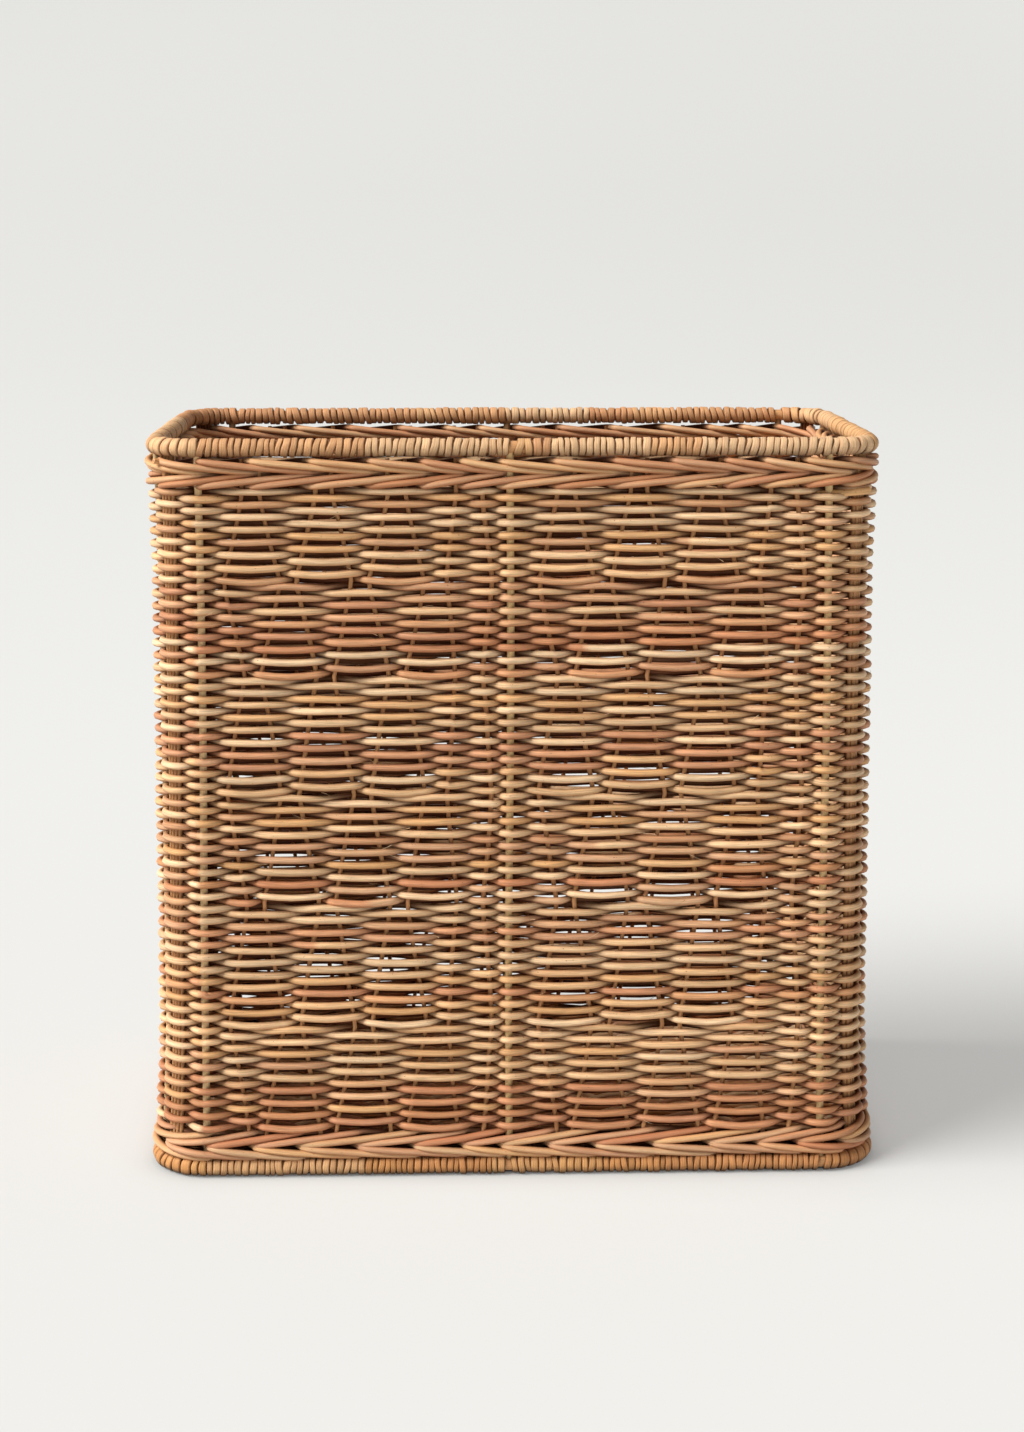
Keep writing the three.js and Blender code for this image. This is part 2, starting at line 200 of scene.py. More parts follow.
class Strands:
    """Collects tubes and strips into one mesh, with a colour and a grain coordinate on each point."""

    def __init__(self):
        self.points, self.colors, self.grains = [], [], []
        self.quads, self.fans = [], []
        self.count = 0

    def grid(self, points, colors, grains, closed_along, closed_round=True):
        """A sheet of points (rings, sides, 3), joined round each ring and from ring to ring."""
        rings, sides = points.shape[:2]
        index = self.count + np.arange(rings * sides).reshape(rings, sides)
        a = index if closed_along else index[:-1]
        b = np.roll(index, -1, 0) if closed_along else index[1:]
        if closed_round:
            c, d = np.roll(b, -1, 1), np.roll(a, -1, 1)
        else:
            a, b, c, d = a[:, :-1], b[:, :-1], b[:, 1:], a[:, 1:]
        self.quads.append(np.stack([a, b, c, d], -1).reshape(-1, 4))
        self.points.append(points.reshape(-1, 3))
        self.colors.append(np.broadcast_to(colors, (rings, sides, 3)).reshape(-1, 3))
        self.grains.append(grains.reshape(-1, 3))
        self.count += rings * sides
        return index

    def cap(self, ring, centre, color, grain):
        """Closes one end with a fan to a centre point."""
        self.points.append(np.asarray(centre, float).reshape(1, 3))
        self.colors.append(np.asarray(color, float).reshape(1, 3))
        self.grains.append(np.asarray(grain, float).reshape(1, 3))
        middle = np.full(len(ring), self.count)
        self.fans.append(np.stack([ring, np.roll(ring, -1), middle], -1))
        self.count += 1

    def tube(
        self,
        path,
        out,
        radius,
        color,
        sides=8,
        closed=False,
        flat=1.0,
        start=0.0,
        off=None,
        rows_near=1.0,
    ):
        """A round strand along path. out is a side-on direction for each point.

        off is how far the strand stands off the wall's middle. Sides that face into the weave get painted
        shade, and so do those that face other rows close above and below (rows_near 1; 0 for an upright).
        """
        path = np.asarray(path, float)
        n = len(path)
        if closed:
            tangent = np.roll(path, -1, 0) - np.roll(path, 1, 0)
        else:
            tangent = np.gradient(path, axis=0)
        tangent /= np.linalg.norm(tangent, axis=1)[:, None] + TINY
        out = np.broadcast_to(np.asarray(out, float), path.shape)
        first = out - tangent * (out * tangent).sum(1)[:, None]
        first /= np.linalg.norm(first, axis=1)[:, None] + TINY
        second = np.cross(tangent, first)
        angle = np.linspace(0, 2 * np.pi, sides, endpoint=False)
        radius = np.broadcast_to(np.asarray(radius, float), (n,))[:, None, None]
        flat = np.broadcast_to(np.asarray(flat, float), (n,))[:, None, None]
        ring = first[:, None] * np.cos(angle)[None, :, None]
        ring = ring + second[:, None] * np.sin(angle)[None, :, None] * flat
        points = path[:, None] + ring * radius
        step = np.linalg.norm(np.diff(path, axis=0), axis=1)
        along = start + np.concatenate([[0], np.cumsum(step)])
        grains = np.empty((n, sides, 3))
        grains[..., 0] = np.cos(angle)[None]
        grains[..., 1] = np.sin(angle)[None]
        grains[..., 2] = along[:, None]
        color = np.asarray(color, float)
        colors = color[:, None] if color.ndim == 2 else color
        # painted shade: sides deep in the weave, and sides close under or over the next row, are darkened in
        # the colour
        if off is not None:
            depth = np.broadcast_to(off, (n,))[:, None] + radius[..., 0] * np.cos(angle)[None]
            colors = colors * painted_weave_shade(depth, np.cos(angle)[None], np.sin(angle)[None] * rows_near)
        index = self.grid(points, colors, grains, closed)
        if not closed:
            for k, ends in ((0, index[0][::-1]), (n - 1, index[-1])):
                tone = (color[k] if color.ndim == 2 else color) * END_TONE
                self.cap(ends, path[k], tone, (0, 0, along[k]))

    def build(self, name, material, replaces):
        """Makes the mesh and its object, and fits it to the frame."""
        points = np.concatenate(self.points) * MM
        quads = np.concatenate(self.quads) if self.quads else np.empty((0, 4), int)
        fans = np.concatenate(self.fans) if self.fans else np.empty((0, 3), int)
        mesh = bpy.data.meshes.new(name)
        mesh.vertices.add(len(points))
        mesh.vertices.foreach_set("co", points.astype(np.float32).ravel())
        loops = np.concatenate([quads.ravel(), fans.ravel()]).astype(np.int32)
        mesh.loops.add(len(loops))
        mesh.loops.foreach_set("vertex_index", loops)
        starts = np.concatenate([
            np.arange(len(quads)) * 4,
            len(quads) * 4 + np.arange(len(fans)) * 3,
        ]).astype(np.int32)
        mesh.polygons.add(len(starts))
        mesh.polygons.foreach_set("loop_start", starts)
        mesh.polygons.foreach_set("use_smooth", np.ones(len(starts), bool))
        mesh.update(calc_edges=True)
        color = mesh.attributes.new("strand_color", "FLOAT_COLOR", "POINT")
        rgba = np.ones((len(points), 4), np.float32)
        rgba[:, :3] = np.concatenate(self.colors)
        color.data.foreach_set("color", rgba.ravel())
        grain = mesh.attributes.new("grain", "FLOAT_VECTOR", "POINT")
        grain.data.foreach_set("vector", np.concatenate(self.grains).astype(np.float32).ravel())
        mesh.validate()
        mesh.materials.append(material)
        piece = bpy.data.objects.new(name, mesh)
        bpy.context.scene.collection.objects.link(piece)
        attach(piece, "root")
        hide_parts(*replaces)
        return piece


def linear(red, green, blue):
    """An sRGB colour (0 to 255) as linear light."""
    c = np.array([red, green, blue], float) / 255
    return np.where(c <= 0.04045, c / 12.92, ((c + 0.055) / 1.055) ** 2.4)


# ---- Materials ----
BLOTCH_RED = (168, 104, 70)
PORE_BROWN = (92, 54, 30)
FIBRE_LOW, FIBRE_HIGH = 0.3, 0.7  # the part of the fibre noise that is stretched to full contrast
BLOTCH_LOW, BLOTCH_HIGH = 0.52, 0.75
PORE_LOW, PORE_HIGH = 0.69, 0.78
FIBRE_LIFT = 0.6  # how much a pale fibre gains for what a dark one loses
SPECULAR_LEVEL = 0.34
SPECULAR_TINT = (1.0, 0.8, 0.55, 1)
FIBRE_HEIGHT = 0.0004  # metres


def rattan_material(name, fibre=0.32, mottle=0.26, specks=0.8, rough=0.5, streak=(1.9, 0.05)):
    """Rattan: a strand's own colour, with fibres along it, blotches, pores and a dull shine."""
    material = bpy.data.materials.new(name)
    material.use_nodes = True
    nodes, links = material.node_tree.nodes, material.node_tree.links
    nodes.clear()
    output = nodes.new("ShaderNodeOutputMaterial")
    shader = nodes.new("ShaderNodeBsdfPrincipled")
    links.new(shader.outputs["BSDF"], output.inputs["Surface"])

    color = nodes.new("ShaderNodeAttribute")
    color.attribute_name = "strand_color"
    grain = nodes.new("ShaderNodeAttribute")
    grain.attribute_name = "grain"

    def noise(scale, detail, across, along, seed):
        """Noise over the strand's grain coordinates, stretched along the strand."""
        mapping = nodes.new("ShaderNodeMapping")
        mapping.inputs["Scale"].default_value = (across, across, along)
        mapping.inputs["Location"].default_value = (seed * 7.3, seed * 3.1, seed * 11.7)
        links.new(grain.outputs["Vector"], mapping.inputs["Vector"])
        texture = nodes.new("ShaderNodeTexNoise")
        texture.inputs["Scale"].default_value = scale
        texture.inputs["Detail"].default_value = detail
        links.new(mapping.outputs["Vector"], texture.inputs["Vector"])
        return texture.outputs["Fac"]

    def remap(value, low, high, to_low, to_high):
        node = nodes.new("ShaderNodeMapRange")
        node.inputs["From Min"].default_value = low
        node.inputs["From Max"].default_value = high
        node.inputs["To Min"].default_value = to_low
        node.inputs["To Max"].default_value = to_high
        links.new(value, node.inputs["Value"])
        return node.outputs["Result"]

    def multiply(base, factor):
        node = nodes.new("ShaderNodeMix")
        node.data_type = "RGBA"
        node.blend_type = "MULTIPLY"
        node.inputs["Factor"].default_value = 1.0
        links.new(base, node.inputs["A"])
        links.new(factor, node.inputs["B"])
        return node.outputs["Result"]

    def blend(base, factor, target):
        node = nodes.new("ShaderNodeMix")
        node.data_type = "RGBA"
        links.new(factor, node.inputs["Factor"])
        links.new(base, node.inputs["A"])
        node.inputs["B"].default_value = (*target, 1)
        return node.outputs["Result"]

    fibres = noise(scale=2.2, detail=4.0, across=streak[0], along=streak[1], seed=1)
    streaks = remap(fibres, FIBRE_LOW, FIBRE_HIGH, 1 - fibre, 1 + fibre * FIBRE_LIFT)
    shade = multiply(color.outputs["Color"], streaks)
    blotches = noise(scale=1.0, detail=3.0, across=0.35, along=0.035, seed=2)
    shade = blend(shade, remap(blotches, BLOTCH_LOW, BLOTCH_HIGH, 0.0, mottle), linear(*BLOTCH_RED))
    pores = noise(scale=1.0, detail=2.0, across=2.2, along=0.9, seed=3)
    shade = blend(shade, remap(pores, PORE_LOW, PORE_HIGH, 0.0, specks), linear(*PORE_BROWN))
    links.new(shade, shader.inputs["Base Color"])
    roughness = remap(fibres, FIBRE_LOW, FIBRE_HIGH, rough + 0.08, rough - 0.06)
    links.new(roughness, shader.inputs["Roughness"])
    shader.inputs["Specular IOR Level"].default_value = SPECULAR_LEVEL
    shader.inputs["Specular Tint"].default_value = SPECULAR_TINT

    relief = nodes.new("ShaderNodeBump")
    relief.inputs["Strength"].default_value = 0.4
    relief.inputs["Distance"].default_value = FIBRE_HEIGHT
    links.new(fibres, relief.inputs["Height"])
    links.new(relief.outputs["Normal"], shader.inputs["Normal"])
    return material


weaver_material = rattan_material("weaver_reed")
wale_material = rattan_material("wale_reed", fibre=0.2)
post_material = rattan_material("post_rattan", fibre=0.16, mottle=0.12, rough=0.45)
stake_material = rattan_material("stake_rattan", fibre=0.3, mottle=0.35)
cane_material = rattan_material("cane_binding", fibre=0.26, mottle=0.35, specks=0.6, streak=(5.0, 0.12))
pole_material = rattan_material("hoop_pole", fibre=0.2)
base_material = rattan_material("base_reed")
hair_material = rattan_material("loose_fibre", fibre=0.1, mottle=0.1, specks=0.0)

# ---- Colours ----
STRAW = linear(248, 216, 176)
TAN = linear(228, 177, 122)
ROSE = linear(202, 133, 97)
OLIVE = linear(248, 211, 150)
BARK = linear(200, 142, 96)
CANE = linear(240, 188, 135)
AMBER = linear(220, 160, 98)


def mix(a, b, share):
    return a * (1 - share) + b * share


def reed_color(red_chance):
    """One strand's colour: mostly straw to tan, now and then rosy."""
    base = mix(STRAW, TAN, rng.beta(1.3, 1.6))
    if rng.random() < red_chance:
        base = mix(base, ROSE, rng.uniform(0.3, 0.85))
    return base * rng.uniform(0.88, 1.1)


def wavy(s, count, size, lowest=1, highest=9):
    """A smooth closed wobble along s, made of a few waves."""
    total = np.zeros_like(s)
    for _ in range(count):
        waves = rng.integers(lowest, highest + 1)
        total += np.sin(2 * np.pi * waves * s / ROUND + rng.uniform(0, 2 * np.pi))
    return total * size / math.sqrt(count)


# ---- Weaving ----
FLOAT_STEPS = 4  # points where a reed lies against a group of uprights
CROSS_STEPS = 6  # points on its way to the next group
GROUP_STEPS = FLOAT_STEPS + CROSS_STEPS
ROW_COUNT = sum(TIER_ROWS)
CHANGE_ABOVE = 0.5  # mm above the change of tiers, where the stakes still stand in the tier above
SAG_FROM, SAG_OVER = 9, 22  # mm: a float this wide starts to sag, and one wider by this sags fully
ROW_SPREAD = 0.16  # mm: how unevenly reeds stand off and lie


def tier_of(row):
    """The tier of a row, counted from the top."""
    for k, rows in enumerate(TIER_ROWS):
        if row < rows:
            return k
        row -= rows


def sag_pattern(k, z, s):
    """Where the floats of tier k are, as 0 at their ends and 1 in the middle of a wide one."""
    groups = contacts(k, z)
    ends = []
    for i, (_first, last, _r) in enumerate(groups):
        following = groups[(i + 1) % len(groups)][0] + (ROUND if i + 1 == len(groups) else 0)
        ends.append((last + following) / 2)
    ends = np.array([ends[-1] - ROUND, *ends, ends[0] + ROUND])
    at = np.clip(np.searchsorted(ends, s, side="right") - 1, 0, len(ends) - 2)
    width = ends[at + 1] - ends[at]
    bump = np.sin(np.pi * (s - ends[at]) / width) ** 2
    return bump * np.clip((width - SAG_FROM) / SAG_OVER, 0, 1)


ROSY_BANDS = [246, 232, 187, 140, 122, 48, 34]  # heights where more of the reed is rosy
ROSY_BAND_HALF = 9
ROSY_ANYWHERE, ROSY_IN_BAND = 0.15, 0.4  # the chance of a rosy strand, and how much a band adds
STRAND_LENGTHS = (320, 1100)


def strand_pieces(total):
    """Cuts a long winding into strands: where each starts, and its colour and thickness."""
    starts, colors, radii = [0.0], [], []
    while starts[-1] < total:
        z = WEAVE_TOP - starts[-1] / total * (WEAVE_TOP - WEAVE_FOOT)
        near = sum(ROSY_IN_BAND * math.exp(-(((z - band) / ROSY_BAND_HALF) ** 2)) for band in ROSY_BANDS)
        colors.append(reed_color(ROSY_ANYWHERE + near))
        radii.append(REED_RADIUS * rng.uniform(0.93, 1.07))
        starts.append(starts[-1] + rng.uniform(*STRAND_LENGTHS))
    return np.array(starts), np.array(colors), np.array(radii)


# two weavers wind round together, one row each in turn
windings = [strand_pieces(ROUND * (ROW_COUNT // 2 + 3)) for _ in range(2)]


def weaver_row(row):
    """One row of weaving: its path and how it is thick, coloured and pressed flat along the way."""
    k = tier_of(row)
    z = WEAVE_TOP - (row + 0.5) * ROW_PITCH
    groups = contacts(k, z)
    knots, values = [], []
    for g, (first, last, radius) in enumerate(groups):
        side = 1 if (g + row) % 2 == 0 else -1
        reach = side * (radius + REED_RADIUS * 0.96) + rng.normal(0, ROW_SPREAD)
        if last - first < 1.0:  # a single upright: the reed still lies along it for a little
            first, last = first - 0.6, last + 0.6
        knots.append((first, last))
        values.append(reach)
    s, off = [], []
    for g, (first, last) in enumerate(knots):
        s.append(np.linspace(first, last, FLOAT_STEPS, endpoint=False))
        swell = np.sin(np.linspace(0, np.pi, FLOAT_STEPS, endpoint=False))
        off.append(values[g] + np.sign(values[g]) * 0.35 * swell * min(1, (last - first) / 16))
        nxt = (g + 1) % len(knots)
        ahead = knots[nxt][0] + (ROUND if nxt == 0 else 0)
        share = np.linspace(0, 1, CROSS_STEPS, endpoint=False)
        s.append(last + (ahead - last) * share)
        ease = 0.5 - 0.5 * np.cos(np.pi * share)
        off.append(values[g] + (values[nxt] - values[g]) * ease)
    s, off = np.concatenate(s), np.concatenate(off)

    # the rows above a change of partners are pressed down between the stakes, and those below follow
    low_edge, high_edge = TIER_EDGES[k + 1], TIER_EDGES[k]
    drop = 1.15 * math.exp(-(z - low_edge) / 9.0) * sag_pattern(k, low_edge + CHANGE_ABOVE, s)
    if k > 0:
        drop = drop + math.exp(-(high_edge - z) / 5.0) * sag_pattern(k - 1, high_edge + CHANGE_ABOVE, s)
    bump = np.sin(np.linspace(0, np.pi, GROUP_STEPS)) ** 2
    jitter = np.concatenate([rng.normal(0, ROW_SPREAD) * bump for _ in knots])
    height = z + jitter - drop + wavy(s, 4, ROW_SPREAD)

    starts, colors, radii = windings[row % 2]
    run = (row // 2 + 1) * ROUND + s - knots[0][0]
    piece = np.searchsorted(starts, run, side="right") - 1
    tone = colors[piece] * (1 + 0.05 * np.sin(run / 37.0 + row))[:, None]
    thick = radii[piece] * (1 + 0.03 * np.sin(run / 23.0 + row * 2))
    path = wall(s, height, off)
    _core, out = core_and_out(s)
    out = np.column_stack([out, np.zeros(len(s))])
    edge_on = 1 - 0.12 * np.exp(-((off / 1.2) ** 2))
    return path, out, thick, tone, edge_on, run[0], off


CUT_RINGS = [(0.98, 0.45), (0.8, 1.2), (0.45, 1.05), (0.15, 0.5)]  # radius and tone of rings on a cut end
CUT_STEP = 0.02


def reed_end(strands, places, radius, color, side_on):
    """A reed through (s, z, off) places that ends in a clean cut with its pith showing."""
    steps = np.linspace(0, 1, 8 * len(places))
    knots = np.linspace(0, 1, len(places))
    s, z, off = (np.interp(steps, knots, column) for column in zip(*places))
    path = wall(s, z, off)
    ahead = path[-1] - path[-2]
    ahead /= np.linalg.norm(ahead)
    path = np.vstack([path, *[path[-1] + ahead * CUT_STEP * (i + 1) for i in range(len(CUT_RINGS))]])
    radii = radius * np.array([1.0] * len(steps) + [share for share, _tone in CUT_RINGS])
    tones = color * np.array([1.0] * len(steps) + [tone for _share, tone in CUT_RINGS])[:, None]
    strands.tube(path, side_on, radii, tones, sides=12)


row = -1  # one more row fills the top tier up to the wale
for k, rows in enumerate(TIER_ROWS):
    strands = Strands()
    for _ in range(rows + (row < 0)):
        path, out, thick, tone, edge_on, begin, off = weaver_row(row)
        strands.tube(path, out, thick, tone, closed=True, flat=edge_on, start=begin, off=off)
        row += 1
    if k == 0:
        corner = STARTS[1] + ARC / 2
        places = [
            (corner - 22, 288.2, -1.5),
            (corner - 10, 288.9, 1.0),
            (corner - 4, 289.3, 3.4),
            (corner + 1, 289.6, 4.6),
        ]
        reed_end(strands, places, REED_RADIUS, TAN, (0, 0, 1))
    name = f"weave_tier_{k + 1}"
    strands.build(f"woven_reed_tier_{k + 1}", weaver_material, [name])


# ---- Posts and stakes ----
UPRIGHT_FOOT = FOOT_Z + 1.0
UPRIGHT_TOP = RIM_Z + 0.8
UPRIGHT_SHOWS = 1.8  # mm further out than it stands, for how open an upright counts in the painted weave shade


def upright_tube(strands, s, levels, radius, color, off=0.0, sides=8):
    """An upright that stands at s, one place for each level."""
    path = wall(s, levels, off)
    _core, out = core_and_out(s)
    out = np.column_stack([out, np.zeros(len(levels))])
    # painted shade on the upright, by how deep it stands in the weave
    shows = np.full(len(levels), off + UPRIGHT_SHOWS)
    strands.tube(path, out, radius, color, sides=sides, off=shows, rows_near=0.0)


for face, at, name in POST_PLACES:
    levels = np.linspace(UPRIGHT_FOOT, UPRIGHT_TOP, 60)
    middle = s_of(face, at)
    phase = rng.uniform(0, 2 * np.pi)
    lean = rng.normal(0, 0.5)
    drift = middle + 0.45 * np.sin(levels / 46 + phase) + lean * (levels / HEIGHT - 0.5)
    node = rng.uniform(60, 240)
    swell = 1 + 0.12 * np.exp(-(((levels - node) / 1.6) ** 2))
    shade = mix(OLIVE, STRAW, rng.uniform(0.0, 0.3))
    tones = shade * (1 - 0.3 * np.exp(-(((levels - node) / 1.1) ** 2)))[:, None]
    post = Strands()
    upright_tube(post, drift, levels, POST_RADIUS * swell, tones, sides=12)
    post.build(f"rattan_{name}", post_material, [name])

for middle, name in CORNER_PLACES:
    bundle = Strands()
    levels = np.linspace(UPRIGHT_FOOT, UPRIGHT_TOP - 4, 50)
    for i in range(4):
        phase = rng.uniform(0, 2 * np.pi)
        place = middle + (i - 1.5) * 2 * STAKE_RADIUS
        drift = place + 0.22 * np.sin(levels / 21 + phase)
        tone = mix(BARK, TAN, rng.uniform(0.1, 0.6))
        upright_tube(bundle, drift, levels, STAKE_RADIUS, tone, rng.normal(0, 0.12))
    if name == "front_left_corner_stakes":
        _core, out = core_and_out(np.array([middle]))
        side_on = (-out[0, 1], out[0, 0], 0)
        places = [
            (middle, 290.0, 0.5),
            (middle, 299.0, 1.2),
            (middle, 302.2, 3.4),
            (middle - 0.5, 302.8, 6.2),
        ]
        reed_end(bundle, places, 1.25, mix(BARK, TAN, 0.5), side_on)
    bundle.build(f"rattan_{name}", stake_material, [name])

LOWER_ROD_Z, UPPER_ROD_Z = 8.7, 11.0  # the front-to-back stakes cross the base under the left-to-right ones


def stake_line(face, start, length, i, rod_z):
    """A stake's line from its top down to the base, as points."""
    levels = np.linspace(UPRIGHT_TOP - 5.5, WEAVE_FOOT - 2, 64)
    shake = rng.uniform(0, 2 * np.pi)
    at = station(start, length, i, levels) + 0.25 * np.sin(levels / 9 + shake)
    edges = np.array(TIER_EDGES)
    nearest = np.abs(levels[:, None] - edges[None]).min(1)
    off = 0.25 * np.exp(-nearest / 6)
    down = wall(s_of(face, at), levels, off)
    turn = np.linspace(0, np.pi / 2, 7)[1:]
    bend = []
    last_at = at[-1]
    radius = levels[-1] - rod_z
    for angle in turn:
        z = rod_z + radius * (1 - math.sin(angle))
        point = wall(s_of(face, last_at), levels[-1], off[-1] - radius * (1 - math.cos(angle)))[0]
        bend.append((point[0], point[1], z))
    return np.vstack([down, bend])


for bay, (start, length, faces, rod_z) in {
    "left": (-CORE_X, CORE_X, ("front", "back"), LOWER_ROD_Z),
    "right": (0.0, CORE_X, ("front", "back"), LOWER_ROD_Z),
    "side": (-CORE_Y, 2 * CORE_Y, ("left", "right"), UPPER_ROD_Z),
}.items():
    for i in range(1, STAKES_PER_BAY + 1):
        first = stake_line(faces[0], start, length, i, rod_z)
        second = stake_line(faces[1], start, length, i, rod_z)[::-1]
        across = np.linspace(first[-1], second[0], 12)[1:-1]
        path = np.vstack([first, across, second])
        side_on = (1, 0, 0) if faces[0] == "front" else (0, 1, 0)
        tone = mix(BARK, TAN, rng.uniform(0.0, 0.45))
        stake = Strands()
        stake.tube(path, side_on, STAKE_RADIUS * rng.uniform(0.92, 1.08), tone, sides=8)
        stake.build(f"rattan_{bay}_stake_{i}", stake_material, [f"{bay}_stake_{i}"])


# ---- Wales: each row is four reeds, which go in front of two groups of uprights and behind two ----
WALE_RADIUS = 1.65
WALE_FLATNESS = 0.86  # height to thickness where the reeds are pressed together
WALE_STRANDS = 4
WALE_STEPS = 12  # points from one group of uprights to the next
FRONT_SHARE = 0.52  # of each lap is in front of the uprights
EVEN_SHARE = 0.55  # how far the places are evened out, so that narrow groups don't bunch the strands
LAP_SHIFT = 1.1  # mm: a strand starts this far over the one before it and ends this far under the next


def wale_row(name, z_mid, rise, band, k, face_off):
    """One row of waling at tier k, its strands face_off from the wall's middle and band above or below z_mid.

    rise is +1 where the strands climb to the right and -1 where they fall.
    """
    groups = contacts(k, z_mid)
    middles = np.array([(first + last) / 2 for first, last, _r in groups])
    count = len(middles)
    laps = count // WALE_STRANDS
    even = middles[0] + np.arange(count) * ROUND / count
    middles = mix(middles, even, EVEN_SHARE)
    g = np.arange(count * WALE_STEPS) / WALE_STEPS
    s = np.interp(g, np.arange(count + 1), np.append(middles, middles[0] + ROUND))
    _core, out = core_and_out(s)
    out = np.column_stack([out, np.zeros(len(s))])
    strands = Strands()
    for phase in range(WALE_STRANDS):
        lap = np.mod((g + phase) / WALE_STRANDS, 1.0)
        lap_number = np.mod(np.floor((g + phase) / WALE_STRANDS).astype(int), laps)
        u = np.clip(lap / FRONT_SHARE, 0, 1)
        behind = np.clip((lap - FRONT_SHARE) / (1 - FRONT_SHARE), 0, 1)
        # a strand comes out over the one before it, and its end goes in under the next
        off_front = (face_off + LAP_SHIFT * (1 - 2 * u)) * np.sin(np.pi * u**0.75) ** 0.4
        off_back = (-face_off + LAP_SHIFT * (1 - 2 * behind)) * np.sin(np.pi * behind**1.3) ** 0.4
        off = np.where(lap < FRONT_SHARE, off_front, off_back)
        climb = np.where(lap < FRONT_SHARE, -1 + 2 * u, 1 - 2 * behind)
        fade = np.sin(np.pi * lap)
        off = off + rng.normal(0, 0.16, laps)[lap_number] * fade
        lift = rng.normal(0, 0.22, laps)[lap_number] * fade
        z = z_mid + rise * climb * band + lift + wavy(s, 4, 0.15)
        tones = np.array([mix(reed_color(0.5), ROSE, rng.uniform(0.05, 0.35)) * 0.95 for _ in range(laps)])
        tones = tones[lap_number // 3 * 3]  # a strand keeps its colour for three laps
        thick = WALE_RADIUS * rng.uniform(0.95, 1.06)
        strands.tube(
            wall(s, z, off),
            out,
            thick,
            tones,
            sides=10,
            closed=True,
            flat=WALE_FLATNESS,
            off=off,
            rows_near=1.2,
        )
    strands.build(f"waled_reed_{name}", wale_material, [name])


wale_row("top_wale_upper", z_mid=300.3, rise=-1, band=2.5, k=0, face_off=3.2)
wale_row("top_wale_lower", z_mid=294.7, rise=1, band=2.5, k=0, face_off=3.2)
wale_row("bottom_wale_upper", z_mid=15.5, rise=1, band=2.4, k=5, face_off=3.3)
wale_row("bottom_wale_lower", z_mid=9.9, rise=-1, band=2.3, k=5, face_off=3.5)


# ---- Hoops ----
def hoop_core(name, z):
    """The bent pole inside a cane binding."""
    s = np.linspace(0, ROUND, 240, endpoint=False)
    _core, out = core_and_out(s)
    pole = Strands()
    out = np.column_stack([out, np.zeros(len(s))])
    pole.tube(wall(s, z, 0.0), out, CORE_RADIUS, mix(BARK, TAN, 0.4), sides=12, closed=True)
    pole.build(f"bent_{name}", pole_material, [name])


hoop_core("top_hoop_core", RIM_Z)
hoop_core("bottom_hoop_core", FOOT_Z)

# across a strip of cane: how far along its half width, and how high it stands
STRIP_GROOVES = [
    (-1.0, 0.0),
    (-0.93, 0.5),
    (-0.77, 0.82),
    (-0.5, 0.96),
    (-0.26, 0.86),
    (0.0, 1.0),
    (0.26, 0.88),
    (0.5, 0.97),
    (0.77, 0.8),
    (0.93, 0.48),
    (1.0, 0.0),
]


END_STRIPS_WIDER = 1.35  # strips round the short ends of the basket are this much wider
POST_GAP = 1.1  # mm each side of a post where the binding is left open
BELOW_FROM, BELOW_OVER = 0.15, 0.55  # how far down a side faces before painted shade darkens it, and over what


